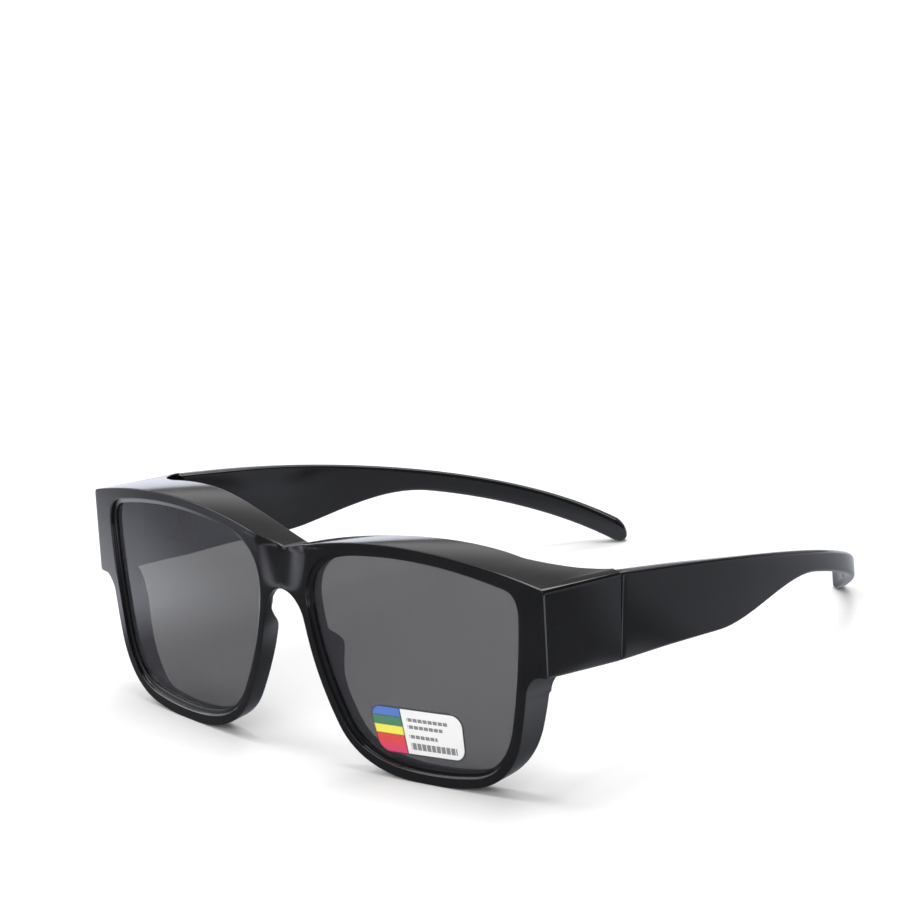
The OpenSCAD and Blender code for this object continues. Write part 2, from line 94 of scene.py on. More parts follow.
# Bridge
CREASE_X = 8.2
CREASE_LOW_X = 6.9
SADDLE_SINK = 1.2
SADDLE_LOW = -0.3
BRIDGE_T = 2.2
BRIDGE_DEPTH = 9.5
SHELF_DEPTH = 20.5
TURN_RUN = 14.5
TURN_POWER = 1.4

# Lens and sticker
LENS_T = 1.8
LENS_SET = 1.6
LENS_LAP = 0.65
LENS_GAP = 0.1
STICKER = {"w": 26, "h": 11.2, "r": 3.1, "x": 37, "z": 11.6, "t": 0.12, "stripe_w": 8.7, "stripe_t": 0.05}
STICKER_TURN = math.radians(2)
STICKER_SLANT = (2.4, 0.3)
SLANT_FROM = 0.25
GLUE_GAP = 0.005
PRINT_GAP = 0.002

# Temples
TEMPLE_LEN = 122.3
TEMPLE_ROOT_T = 3.6
TEMPLE_SLIM = (2.7, 5.6)
TEMPLE_TIP = (3.3, 6.2)
TIP_X = 39
TIP_FALL = 0.45

# Small radii that catch the light
EDGE_R = 0.5
BACK_R = 0.35
LIP_R = 0.22
CREASE_R = 0.8
SEAT_R = 0.12
BEZEL_R = 0.15
FOOT_R = 0.6
SEAT_BACK_R = 0.25

# Angles past which an edge between two faces stays sharp
SHARP_DEG = 38
TEMPLE_SHARP_DEG = 60


def mix(a, b, u):
    return a + (b - a) * u


def share(a, b, x):
    return min(1.0, max(0.0, (x - a) / (b - a)))


def ease(a, b, x):
    u = share(a, b, x)
    return u * u * (3 - 2 * u)


def curve3(p, q, r, u):
    return mix(mix(p, q, u), mix(q, r, u), u)


def curve4(p, q, r, s, u):
    return mix(curve3(p, q, r, u), curve3(q, r, s, u), u)


def quarter_turn(v):
    return Vector((-v[1], v[0]))


def cross(a, b):
    return a[0] * b[1] - a[1] * b[0]


# Wrap of the front, seen from above: a circle through the bridge crease. Level shapes are made
# first, and leant shears them to the lean of the face and of the hinge seam.
WRAP_X = CREASE_X - WRAP_R * math.sin(WRAP_A)
WRAP_Y = WRAP_R * math.cos(WRAP_A)


def wrap(x, depth=0.0):
    return (WRAP_Y - math.sqrt((WRAP_R - depth) ** 2 - (x - WRAP_X) ** 2)) / math.cos(FACE_LEAN)


SEAM_Y = wrap(HALF_W) + END_DEPTH
ROOT_TOP = END_TOP - SHELF_FALL * (END_DEPTH + SEAM_GAP)
ROOT_H = END_TOP - END_LOW
AXIS_Z = ROOT_TOP - ROOT_H / 2


def leant(p, amount=1.0):
    face = math.tan(FACE_LEAN)
    seam = ease(SEAM_Y - SEAM_RUN, SEAM_Y, p[1])
    shift = (p[2] - LEAN_Z) * face + seam * (p[2] - AXIS_Z) * (SEAM_LEAN - face)
    return Vector((p[0], p[1] + amount * shift, p[2]))


def up_bridge(z):
    return share(BRIDGE_ARCH, BRIDGE_TOP, z)


def crease(z):
    return mix(CREASE_LOW_X, CREASE_X, up_bridge(z))


def saddle(x, z, depth):
    c = crease(z)
    return wrap(c, depth) + mix(SADDLE_LOW, SADDLE_SINK, up_bridge(z)) * (1 - (x / c) ** 2)


def face_y(x, z, depth):
    """The front face: the wrap, with the shallow saddle between the creases and a soft crease."""
    near = crease(z) - CREASE_R
    far = crease(z) + CREASE_R
    if x >= far:
        return wrap(x, depth)
    if x <= near:
        return saddle(x, z, depth)
    start = Vector((near, saddle(near, z, depth)))
    peak = Vector((crease(z), wrap(crease(z), depth)))
    end = Vector((far, wrap(far, depth)))
    return curve3(start, peak, end, share(near, far, x))[1]


# Lens opening: four corners in the order inner top, outer top, outer bottom, inner bottom, what
# each corner's rounding takes from the sides before and after it, and how far each side bows
CORNERS = [Vector(p) for p in ((8.3, 49.9), (67.2, 48.7), (61.7, 6.6), (21.7, 6))]
CUTS = [(11.8, 13.7), (3.6, 6), (10.5, 9), (14.2, 7.1)]
BOWS = [3.8, 1.3, 2.7, 3.6]


def side_at(k, u):
    a = CORNERS[k]
    b = CORNERS[(k + 1) % 4]
    return mix(a, b, u) + quarter_turn(b - a).normalized() * BOWS[k] * 4 * u * (1 - u)


def side_ends(k):
    length = (CORNERS[(k + 1) % 4] - CORNERS[k]).length
    return CUTS[k][1] / length, 1 - CUTS[(k + 1) % 4][0] / length


def side_direction(k, u):
    return (side_at(k, u + 0.001) - side_at(k, u - 0.001)).normalized()


def corner_at(k, u):
    j = (k + 3) % 4
    start_u = side_ends(j)[1]
    end_u = side_ends(k)[0]
    start = side_at(j, start_u)
    end = side_at(k, end_u)
    out = side_direction(j, start_u)
    back_in = side_direction(k, end_u)
    knee = start + out * (cross(end - start, back_in) / cross(out, back_in))
    return curve3(start, knee, end, u)


def opening(t):
    """The opening's edge. Each side takes one unit of t, and so does the corner after it."""
    s = (t + 8) % 8
    k = int(s // 2)
    u = s - 2 * k
    if u < 1:
        return side_at(k, mix(*side_ends(k), u))
    return corner_at((k + 1) % 4, u - 1)


def outward(t):
    return quarter_turn(opening(t + 0.01) - opening(t - 0.01)).normalized()


# Where the spans of the moulding's outer edge start. One unit of t is one side of the opening or
# one of its corners.
T_BRIDGE = 7.12
T_BROW = 7.6
T_CORNER = 9.5
T_LOW = 10.44
T_STEP = 10.47
T_SIDE = 10.65
T_LOWEST = 12.5
T_ARCH = 14.9
WALL_X = HALF_W - SIDE_WALL
# How much of t the rounded corners of the outer edge take, before and after each
CORNER_CUT = (0.038, 0.12)
LOW_CUT = (0.019, 0.0084)
# How far beyond the opening's upper corners the brow's spans end
NEAR_RUN = 2
FAR_RUN = 2.5


def brow_z(x):
    low, run = (BRIDGE_TOP, BROW_PEAK[0]) if x < BROW_PEAK[0] else (END_TOP, HALF_W - BROW_PEAK[0])
    return BROW_PEAK[1] - (BROW_PEAK[1] - low) * ((x - BROW_PEAK[0]) / run) ** 2


def brow_x(t):
    near = opening(8)[0] - NEAR_RUN
    far = opening(9)[0] + FAR_RUN
    half = (T_BROW + 8) / 2
    if t < half:
        return CREASE_X * share(T_BROW, half, t)
    if t < 8:
        return mix(CREASE_X, near, share(half, 8, t))
    if t < 9:
        return opening(t)[0] + mix(-NEAR_RUN, FAR_RUN, t - 8)
    return mix(far, HALF_W, share(9, T_CORNER, t))


def rim_w(t):
    s = t % 8
    low = mix(RIM_CORNER_W, RIM_LOW_W, ease(3.4, 4.4, s))
    return mix(mix(RIM_SIDE_W, low, ease(2.6, 3.4, s)), RIM_NOSE_W, ease(5, 6, s))


def rim_edge(t):
    p = opening(t) + outward(t) * rim_w(t)
    return Vector((p[0], max(0, p[1])))


def end_share(t):
    return share(opening(T_CORNER)[1], opening(T_LOW)[1], opening(t)[1])


def plain_edge(t):
    """The moulding's outer edge as straight spans and curves, before its corners are rounded."""
    if t <= T_BROW:
        return Vector((0, mix(BRIDGE_ARCH, BRIDGE_TOP, share(T_BRIDGE, T_BROW, t))))
    if t <= T_CORNER:
        return Vector((brow_x(t), brow_z(brow_x(t))))
    if t <= T_LOW:
        return Vector((HALF_W, mix(END_TOP, END_LOW, end_share(t))))
    if t <= T_STEP:
        return Vector((mix(HALF_W, WALL_X, share(T_LOW, T_STEP, t)), END_LOW))
    if t <= T_SIDE:
        low = rim_edge(T_SIDE)
        return curve4(Vector((WALL_X, END_LOW)), Vector((WALL_X - 1, END_LOW)),
                      low + Vector((0.2, 3)), low, share(T_STEP, T_SIDE, t))
    if t <= T_ARCH:
        return rim_edge(t)
    p = rim_edge(T_ARCH)
    return curve4(p, p + Vector((-0.5, 3)), Vector((3.3, BRIDGE_ARCH)), Vector((0, BRIDGE_ARCH)),
                  share(T_ARCH, T_BRIDGE + 8, t))


def edge(t):
    """The outer edge with its two square corners rounded."""
    for corner, (before, after) in ((T_CORNER, CORNER_CUT), (T_LOW, LOW_CUT)):
        if corner - before < t < corner + after:
            u = share(corner - before, corner, t) / 2 + share(corner, corner + after, t) / 2
            return curve3(plain_edge(corner - before), plain_edge(corner), plain_edge(corner + after), u)
    return plain_edge(t)


def brow_back(x):
    turn = WALL_X - TURN_RUN
    if x < turn:
        return mix(BRIDGE_DEPTH, SHELF_DEPTH, math.sin(math.pi / 2 * x / turn) ** 2)
    along = share(turn, WALL_X, x)
    return SEAM_Y - (SEAM_Y - SHELF_DEPTH) * (1 - along ** TURN_POWER) ** (1 / TURN_POWER)


def thin(z):
    return ease(PAD_END_Z, THIN_Z, z)


def pad(z):
    return math.exp(-((z - PAD_Z) / (PAD_BELOW if z < PAD_Z else PAD_ABOVE)) ** 2)


def low_depth(t, z):
    if t < T_LOWEST:
        return mix(RIM_DEPTH, SHIELD_DEPTH, mix(share(0, END_LOW, z), 1 - math.exp(-z / SWEEP_Z), 0.5))
    return mix(mix(RIM_DEPTH, PAD_DEPTH, pad(z)), BRIDGE_T, thin(z))


def back(t):
    """How far back the walls reach."""
    e = edge(t)
    if t <= T_BROW:
        return mix(SADDLE_LOW + BRIDGE_T, BRIDGE_DEPTH, ease(0.6, 0.9, share(T_BRIDGE, T_BROW, t)))
    if t <= T_CORNER:
        return brow_back(e[0])
    if t <= T_STEP:
        return SEAM_Y
    low = wrap(e[0]) + low_depth(t, e[1])
    if t <= T_ARCH:
        return low
    return mix(low, SADDLE_LOW + BRIDGE_T, share(T_ARCH, T_BRIDGE + 8, t))


def fall(t):
    if t <= T_STEP:
        return SHELF_FALL * share(T_BRIDGE, T_BROW, t)
    if t <= T_ARCH:
        return SHELF_FALL * ease(6, SHIELD_Z, edge(t)[1]) * (1 if t < T_LOWEST else 0.3)
    return 0


def lean(t):
    """How much the rim walls lean towards the lens as they run back."""
    if t <= T_SIDE or t > T_ARCH:
        return 0
    z = edge(t)[1]
    return mix(0.06 * ease(0.1, 4, z), 0.28, 0 if t < T_LOWEST else pad(z) * (1 - thin(z)))


def inside(t):
    e = edge(t)
    if t <= T_BROW:
        return e + Vector((0.9, -0.1))
    if t <= T_CORNER:
        return Vector((min(WALL_X, e[0] + 0.4), e[1] - WALL))
    if t <= T_LOW:
        return Vector((WALL_X, mix(END_TOP - WALL, END_LOW + 0.9, end_share(t))))
    if t <= T_STEP:
        return Vector((WALL_X, END_LOW + 0.5))
    return e - outward(t) * mix(WALL, THIN_WALL, 0 if t < T_LOWEST else thin(e[1]))


def foot(t):
    """Where the inner wall meets the lens seat."""
    if t <= T_BROW or t > T_ARCH:
        return opening(t) + outward(t) * THIN_WALL
    return inside(t)


def at_depth(p, depth):
    return Vector((p[0], wrap(p[0], depth), p[1]))


def on_face(p, depth=0.0):
    return Vector((p[0], face_y(p[0], p[1], depth), p[1]))


def cut_crease(f, e, z):
    """Where the line from f to e meets the crease of height z."""
    return mix(f, e, (f[0] - crease(z)) / (f[0] - e[0]))


def behind(t, p, y):
    run = y - wrap(p[0])
    q = p - outward(t) * lean(t) * run
    return Vector((q[0], y, q[1] - fall(t) * run))


def rounded(corners):
    """Points of a line through corners, each with its place, the cut of its rounding and its steps."""
    line = []
    for i, (p, cut, steps) in enumerate(corners):
        if steps == 0:
            line.append(p)
            continue
        before = corners[i - 1][0] - p
        after = corners[(i + 1) % len(corners)][0] - p
        start = p + before.normalized() * min(cut, before.length * 0.45)
        end = p + after.normalized() * min(cut, after.length * 0.45)
        line += [curve3(start, p, end, k / steps) for k in range(steps + 1)]
    return line


GROOVE_FRONT = LENS_SET - LENS_GAP
GROOVE_BACK = LENS_SET + LENS_T + LENS_GAP
SEAT_BACK = GROOVE_BACK + 0.8
# Shares of the front face at which a section has points: closer together at the crease and edges
TO_CREASE = (0.25, 0.5, 0.75, 0.93)
FROM_CREASE = (0, 0.07, 0.25, 0.5, 0.75)
BEZEL_STEPS = 2
LIP_STEPS = 3
EDGE_STEPS = 5
BACK_STEPS = 4


def section(t):
    """One closed section through the moulding, from the lens seat over the front face and round."""
    o = opening(t)
    n = outward(t)
    e = edge(t)
    f = o + n * (BEZEL_W + LIP_W)
    if f[0] > crease(f[1]) + 0.1 and e[0] < crease(e[1]) - 0.1:
        m = cut_crease(f, e, cut_crease(f, e, f[1])[1])
    else:
        m = mix(f, e, 0.5)
    face = [mix(f, m, u) for u in TO_CREASE] + [mix(m, e, u) for u in FROM_CREASE]
    b = back(t)
    groove = o + n * (LENS_LAP + LENS_GAP)
    in_bridge = T_BRIDGE < t < T_BROW
    corners = [(at_depth(o, GROOVE_FRONT), 0, 0),
               (at_depth(o, BEZEL_SINK + BEZEL_FALL), SEAT_R, BEZEL_STEPS),
               (at_depth(o + n * BEZEL_W, BEZEL_SINK), BEZEL_R, BEZEL_STEPS),
               (at_depth(f, 0), LIP_R, LIP_STEPS)]
    corners += [(on_face(p), 0, 0) for p in face]
    corners += [(on_face(e), 0 if in_bridge else EDGE_R, EDGE_STEPS),
                (behind(t, e, b), 0 if in_bridge else BACK_R, BACK_STEPS),
                (behind(t, inside(t), b), BACK_R, BACK_STEPS),
                (behind(t, foot(t), wrap(foot(t)[0], SEAT_BACK + BEZEL_FALL)), FOOT_R, 3),
                (at_depth(o + n * 0.2, SEAT_BACK), SEAT_BACK_R, 2),
                (at_depth(o, GROOVE_BACK), 0, 0),
                (at_depth(groove, GROOVE_BACK), 0, 0),
                (at_depth(groove, GROOVE_FRONT), 0, 0)]
    return rounded(corners)


# Places in a section of the last point on the front face and the first behind the outer wall
FACE_END = 1 + 2 * (BEZEL_STEPS + 1) + (LIP_STEPS + 1) + len(TO_CREASE) + len(FROM_CREASE)
WALL_END = FACE_END + EDGE_STEPS + BACK_STEPS + 1


def stations():
    """Values of t round the moulding, closer together where it turns: spans with their steps."""
    corner_start = T_CORNER - CORNER_CUT[0]
    corner_end = T_CORNER + CORNER_CUT[1]
    low_start = T_LOW - LOW_CUT[0]
    low_end = T_LOW + LOW_CUT[1]
    spans = [(T_BRIDGE, T_BRIDGE + 0.05, 1), (T_BRIDGE + 0.05, T_BROW - 0.03, 12),
             (T_BROW - 0.03, T_BROW, 1),
             (T_BROW, 8, 14), (8, 9, 36), (9, corner_start, 14), (corner_start, corner_end, 10),
             (corner_end, 10, 6), (10, low_start, 8), (low_start, low_end, 8),
             (low_end, T_STEP, 3), (T_STEP, T_STEP + 0.002, 1), (T_STEP + 0.002, T_SIDE, 14),
             (T_SIDE, 11, 10), (11, 12, 20), (12, 13, 20), (13, 14, 20), (14, T_ARCH, 24),
             (T_ARCH, T_BRIDGE + 8, 22)]
    return [mix(a, b, k / n) for a, b, n in spans for k in range(n)]


# The construction's origin lies behind the front's foremost point
MIDDLE_Y = min(leant(p)[1] for t in stations() for p in section(t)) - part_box("front_frame")[0][1] / MM


def place(p, side=1, amount=1.0):
    q = leant(p, amount)
    return Vector((side * q[0], q[1] - MIDDLE_Y, q[2])) * MM


def mesh_object(name, points, faces, sharp_deg=SHARP_DEG):
    """A mesh in metres, smooth but for edges that turn by more than sharp_deg."""
    mesh = bpy.data.meshes.new(name)
    mesh.from_pydata(points, [], faces)
    mesh.validate()
    obj = bpy.data.objects.new(name, mesh)
    bpy.context.collection.objects.link(obj)
    weld(mesh, sharp_deg)
    return obj


def weld(mesh, sharp_deg):
    """Joins points that coincide, turns all faces outwards and shades the mesh."""
    bm = bmesh.new()
    bm.from_mesh(mesh)
    bmesh.ops.remove_doubles(bm, verts=bm.verts, dist=1e-6)
    loose = [v for v in bm.verts if not v.link_faces]
    bmesh.ops.delete(bm, geom=loose, context="VERTS")
    bmesh.ops.recalc_face_normals(bm, faces=bm.faces)
    bm.to_mesh(mesh)
    bm.free()
    mesh.shade_smooth()
    mesh.set_sharp_from_angle(angle=math.radians(sharp_deg))


def front_shell():
    """Both halves of the moulded front. They meet on the middle plane."""
    ts = stations()
    rings = [section(t) for t in ts]
    count = len(rings)
    size = len(rings[0])
    middle = [t <= T_BROW + 1e-9 for t in ts]
    inner = [T_BRIDGE + 1e-9 < t < T_BROW - 1e-9 for t in ts]
    points = []
    faces = []
    for side in SIDES.values():
        base = len(points)
        points += [place(p, side) for ring in rings for p in ring]
        for i in range(count):
            k = (i + 1) % count
            for j in range(size):
                if middle[i] and middle[k] and FACE_END <= j < WALL_END:
                    if inner[i] and inner[k] or j == FACE_END + EDGE_STEPS:
                        continue
                following = (j + 1) % size
                faces.append([base + i * size + j, base + k * size + j, base + k * size + following,
                              base + i * size + following])
    return mesh_object("front_shell", points, faces)


def sheet(name, outline, shares, depths, side=1):
    """A closed sheet on the wrap's own curve: an outline drawn in by shares, at two depths."""
    centre = sum(outline, Vector((0, 0))) / len(outline)
    n = len(outline)
    rings = len(shares)
    points = [place(at_depth(mix(centre, p, s), depth), side)
              for depth in depths for s in shares for p in outline]
    following = [(i + 1) % n for i in range(n)]
    faces = []
    for layer in (0, rings * n):
        starts = [layer + r * n for r in range(rings)]
        for a, b in zip(starts, starts[1:]):
            faces += [[a + i, a + k, b + k, b + i] for i, k in enumerate(following)]
        faces.append([starts[-1] + i for i in range(n)])
    faces += [[i, k, rings * n + k, rings * n + i] for i, k in enumerate(following)]
    return mesh_object(name, points, faces)


LENS_POINTS = 200
LENS_SHARES = (1, 0.97, 0.92, 0.84, 0.74, 0.62, 0.5, 0.38, 0.26, 0.14, 0.05)


def lens(side):
    """One laminated lens, whose outline reaches into the groove."""
    ts = [8 * k / LENS_POINTS for k in range(LENS_POINTS)]
    outline = [opening(t) + outward(t) * LENS_LAP for t in ts]
    return sheet("lens_" + side, outline, LENS_SHARES, (LENS_SET, LENS_SET + LENS_T), SIDES[side])


def round_box(w, h, r, steps):
    """Outline of a rectangle with round corners, as points round its middle."""
    return [Vector((sx * (w / 2 - r) + r * math.cos(math.radians(start + 90 * k / steps)),
                    sz * (h / 2 - r) + r * math.sin(math.radians(start + 90 * k / steps))))
            for sx, sz, start in ((1, 1, 0), (-1, 1, 90), (-1, -1, 180), (1, -1, 270))
            for k in range(steps + 1)]


def dense(outline, step=1.0):
    """The outline with points at most a step apart, so that it follows the curve of the lens."""
    line = []
    for i, p in enumerate(outline):
        q = outline[(i + 1) % len(outline)]
        parts = max(1, math.ceil((q - p).length / step))
        line += [mix(p, q, k / parts) for k in range(parts)]
    return line


def slant(p):
    """The sticker's ends lean, the left one more: the lower edge stands further right."""
    half = STICKER["w"] / 2
    lean_here = mix(*STICKER_SLANT, share(-half, half, p[0]))
    return Vector((p[0] + (SLANT_FROM - p[1] / STICKER["h"]) * lean_here, p[1]))


FILM_SHARES = (1, 0.99, 0.8, 0.6, 0.4, 0.2, 0.05)


def film(name, outline, front, rear):
    """A thin sheet that lies on the lens, cut to an outline about the sticker's middle."""
    middle = Vector((STICKER["x"], STICKER["z"]))
    turn = Matrix.Rotation(STICKER_TURN, 2)
    return sheet(name, [middle + turn @ slant(p) for p in dense(outline)], FILM_SHARES, (front, rear))


# Temple: rounded sections along a curve in plan
ROOT_Y = SEAM_Y + SEAM_GAP
TIP_R = TEMPLE_TIP[1] / 2
TIP_TOP = TIP_R + TIP_R * math.hypot(1, TIP_FALL)
PLAN = [Vector(p) for p in ((HALF_W, ROOT_Y), (HALF_W + 2.5, ROOT_Y + 0.34 * TEMPLE_LEN),
                            (HALF_W - 8, ROOT_Y + 0.87 * TEMPLE_LEN), (TIP_X, ROOT_Y + TEMPLE_LEN))]
TOP_LINE = (ROOT_TOP, ROOT_TOP - 7.4, 22.9, TIP_TOP)
ROOT_TAPER = 13
ROOT_ROUND = ((0, 0.3), (0.09, 0.09))
TEMPLE_R = (0.7, 1.1)
# Shares of the temple's length over which its form changes
SLIM_H_RUN = (0.24, 0.57)
SLIM_T_RUN = (0.12, 0.45)
TIP_RUN = (0.6, 1)
ROUND_RUN = (0.2, 0.6)
UPRIGHT_RUN = (0, 0.12)
TEMPLE_STEPS = 90


def temple_height(u):
    slim = mix(TEMPLE_SLIM[1], TEMPLE_TIP[1], ease(*TIP_RUN, u))
    return mix(ROOT_H - ROOT_TAPER * u, slim, ease(*SLIM_H_RUN, u))


def temple_thickness(u):
    root = curve4(*PLAN, u)[0] - HALF_W + TEMPLE_ROOT_T
    slim = mix(TEMPLE_SLIM[0], TEMPLE_TIP[0], ease(*TIP_RUN, u))
    return mix(root, slim, ease(*SLIM_T_RUN, u))


def temple_ring(u, ahead=0.0, scale=1.0, inset=0.0):
    """The section at a share of the length, or a smaller one ahead of it for a rounded end."""
    along = (curve4(*PLAN, u) - curve4(*PLAN, u - 0.01)).normalized() if u > 0 else Vector((0, 1))
    out = Vector((along[1], -along[0]))
    p = curve4(*PLAN, u) + along * ahead
    w = temple_thickness(u)
    h = temple_height(u)
    z = curve4(*TOP_LINE, u) - h / 2 - TIP_FALL * ahead * (u > 0)
    r = mix(*TEMPLE_R, ease(*ROUND_RUN, u)) - inset
    ring = []
    for q in round_box(w - 2 * inset, h - 2 * inset, r, 6):
        s = p + out * (q[0] * scale - w / 2)
        ring.append(leant((s[0], s[1], z + q[1] * scale), 1 - ease(*UPRIGHT_RUN, u)))
    return ring


def temple(side):
    rings = [temple_ring(0, ahead, 1, inset) for ahead, inset in ROOT_ROUND]
    rings += [temple_ring(mix(0.0025, 1, k / TEMPLE_STEPS)) for k in range(TEMPLE_STEPS + 1)]
    tip_angles = map(math.radians, range(6, 89, 6))
    rings += [temple_ring(1, TIP_R * math.sin(a), math.cos(a)) for a in tip_angles]
    size = len(rings[0])
    points = [place(p, SIDES[side], 0) for ring in rings for p in ring]
    starts = [i * size for i in range(len(rings))]
    faces = [[a + j, a + (j + 1) % size, b + (j + 1) % size, b + j]
             for a, b in zip(starts, starts[1:]) for j in range(size)]
    faces += [list(range(size)), list(range(starts[-1], starts[-1] + size))]
    return mesh_object("temple_arm_" + side, points, faces, TEMPLE_SHARP_DEG)


class Wire:
    """A shader socket whose maths is written as plain expressions."""

    def __init__(self, finish, socket):
        self.finish = finish
        self.socket = socket

    def maths(self, operation, *values):
        node = self.finish.node("ShaderNodeMath", {"operation": operation}, dict(enumerate(values)))
        return Wire(self.finish, node.outputs[0])

    def __add__(self, other):
        return self.maths("ADD", self, other)

    def __sub__(self, other):
        return self.maths("SUBTRACT", self, other)

    def __rsub__(self, other):
        return self.maths("SUBTRACT", other, self)

    def __mul__(self, other):
        return self.maths("MULTIPLY", self, other)

    def __truediv__(self, other):
        return self.maths("DIVIDE", self, other)

    def __gt__(self, other):
        return self.maths("GREATER_THAN", self, other)

    def __lt__(self, other):
        return self.maths("LESS_THAN", self, other)

    def at_least(self, low):
        return self.maths("MAXIMUM", self, low)

    def root(self):
        return self.maths("SQRT", self)

    __radd__ = __add__
    __rmul__ = __mul__

    def ease(self, low, high):
        node = self.finish.node("ShaderNodeMapRange", {"interpolation_type": "SMOOTHSTEP"},
                                {"Value": self, "From Min": low, "From Max": high})
        return Wire(self.finish, node.outputs[0])


class Finish:
    """A node material, or the world's nodes, made one node at a time."""

    def __init__(self, owner):
        owner.use_nodes = True
        self.owner = owner
        self.tree = owner.node_tree
        self.tree.nodes.clear()

    def node(self, kind, settings=None, inputs=None):
        node = self.tree.nodes.new(kind)
        for key, value in (settings or {}).items():
            setattr(node, key, value)
        for key, value in (inputs or {}).items():
            if isinstance(value, Wire):
                self.tree.links.new(value.socket, node.inputs[key])
            else:
                node.inputs[key].default_value = value
        return node

    def wire(self, kind, settings=None, inputs=None, output=0):
        return Wire(self, self.node(kind, settings, inputs).outputs[output])

    def place(self):
        return self.wire("ShaderNodeTexCoord", output="Object")

    def noise(self, scale, detail=3.0, roughness=0.5):
        """Even noise about 0.5, with scale in spots per metre."""
        return self.wire("ShaderNodeTexNoise", {}, {"Vector": self.place(), "Scale": scale,
                                                    "Detail": detail, "Roughness": roughness})

    def blend(self, share, a, b):
        """A colour that is a where share is 0 and b where it is 1."""
        return self.wire("ShaderNodeMix", {"data_type": "RGBA"}, {0: share, 6: a, 7: b}, 2)

    def bump(self, height, distance):
        return self.wire("ShaderNodeBump", {}, {"Height": height, "Distance": distance})

    def surface(self, **inputs):
        """Ends the material in one Principled shader, with inputs named as its sockets are."""
        names = {key.replace("_", " "): value for key, value in inputs.items()}
        shader = self.wire("ShaderNodeBsdfPrincipled", {}, names)
        self.node("ShaderNodeOutputMaterial", {}, {"Surface": shader})
        return self.owner


def new_finish(name):
    return Finish(bpy.data.materials.new(name))


def gloss_black(name, lustre):
    """Polished moulded plastic: near black, with faint flow marks, a fine ripple and hand wear."""
    f = new_finish(name)
    flow = f.noise(70, 4)
    ripple = f.noise(900, 2)
    wear = f.noise(260, 6, 0.7).ease(0.56, 0.74)
    colour = f.blend(flow.ease(0.35, 0.65), (0.0040, 0.0042, 0.0050, 1),
                     (0.0060, 0.0062, 0.0072, 1))
    return f.surface(Base_Color=f.blend(wear * 0.2, colour, (0.014, 0.0145, 0.016, 1)),
                     Roughness=lustre + flow * 0.04 + wear * 0.05,
                     Normal=f.bump(ripple, 0.000001))


def smoke_lens():
    """Smoke-grey lens: even tint, a trace of haze and a few faint dust marks."""
    f = new_finish("smoke_lens")
    haze = f.noise(60, 3)
    dust = f.noise(2600, 2).ease(0.74, 0.8)
    return f.surface(Base_Color=f.blend(haze, (0.036, 0.0365, 0.044, 1), (0.042, 0.0425, 0.050, 1)),
                     Roughness=0.05 + haze * 0.03 + dust * 0.2,
                     Alpha=0.69 + haze * 0.02 + dust * 0.05)


def on_sticker(f):
    """Millimetres across and up the sticker from its middle, before it is slanted and turned."""
    at = f.node("ShaderNodeSeparateXYZ", {}, {0: f.place()})
    x = Wire(f, at.outputs["X"]) / MM - STICKER["x"]
    z = Wire(f, at.outputs["Z"]) / MM - STICKER["z"]
    across = x * math.cos(STICKER_TURN) + z * math.sin(STICKER_TURN)
    up = z * math.cos(STICKER_TURN) - x * math.sin(STICKER_TURN)
    lower = SLANT_FROM - up / STICKER["h"]
    rate = (STICKER_SLANT[1] - STICKER_SLANT[0]) / STICKER["w"]
    return (across - lower * sum(STICKER_SLANT) / 2) / (1 + lower * rate), up


def sticker_rim(across, up):
    """1 on the thin dark line round the sticker."""
    r = STICKER["r"]
    x = (across.maths("ABSOLUTE", across) - (STICKER["w"] / 2 - r)).at_least(0)
    z = (up.maths("ABSOLUTE", up) - (STICKER["h"] / 2 - r)).at_least(0)
    return (x * x + z * z).root().ease(r - 0.36, r - 0.2)


INK = (0.03, 0.03, 0.033, 1)
# Rows of plain blocks: height above the sticker's middle, half height, left end and right end
PRINT_ROWS = [(2.9, 0.42, -3, 8.6), (1.2, 0.42, -3, 7), (-1.1, 0.42, -3, 5.2), (-3.4, 0.8, -3, 10.6)]


def label_film():
    """White label film: fine grain, rows of plain grey blocks, a thin dark edge."""
    f = new_finish("label_film")
    grain = f.noise(1500, 3)
    across, up = on_sticker(f)
    block = (across * 0.7).maths("FRACT", across * 0.7).ease(0.12, 0.22)
    ink = sticker_rim(across, up)
    for height, half, left, right in PRINT_ROWS:
        row = (up > height - half) * (up < height + half) * (across > left) * (across < right)
        ink = ink.maths("MAXIMUM", ink, row * block * 0.75)
    white = f.blend(grain, (0.92, 0.92, 0.92, 1), (0.95, 0.95, 0.96, 1))
    return f.surface(Base_Color=f.blend(ink, white, INK), Roughness=0.35 + grain * 0.1,
                     Normal=f.bump(grain, 0.000002))


# The stripes from the lowest up, each with the height of its lower edge
STRIPES = [(-5.6, (0.80, 0.05, 0.045, 1)), (-1.05, (0.93, 0.88, 0.08, 1)),
           (1.05, (0.06, 0.24, 0.13, 1)), (3.25, (0.08, 0.19, 0.60, 1))]
STRIPE_PINK = (0.80, 0.035, 0.15, 1)


def stripe_print():
    """Four printed stripes, one below the other; the lowest fades to pink at the bottom."""
    f = new_finish("stripe_print")
    across, up = on_sticker(f)
    colour = f.blend(up.ease(-4.6, -2.2), STRIPE_PINK, STRIPES[0][1])
    line = sticker_rim(across, up)
    end = STICKER["stripe_w"] - STICKER["w"] / 2
    line = line.maths("MAXIMUM", line, across.ease(end - 0.34, end - 0.2))
    for low, tone in STRIPES[1:]:
        colour = f.blend(up > low, colour, tone)
        line = line.maths("MAXIMUM", line, (up > low - 0.12) * (up < low + 0.12) * 0.5)
    grain = f.noise(2200, 2)
    colour = f.blend(grain * 0.05, colour, (1, 1, 1, 1))
    return f.surface(Base_Color=f.blend(line * 0.8, colour, INK), Roughness=0.3 + grain * 0.1)


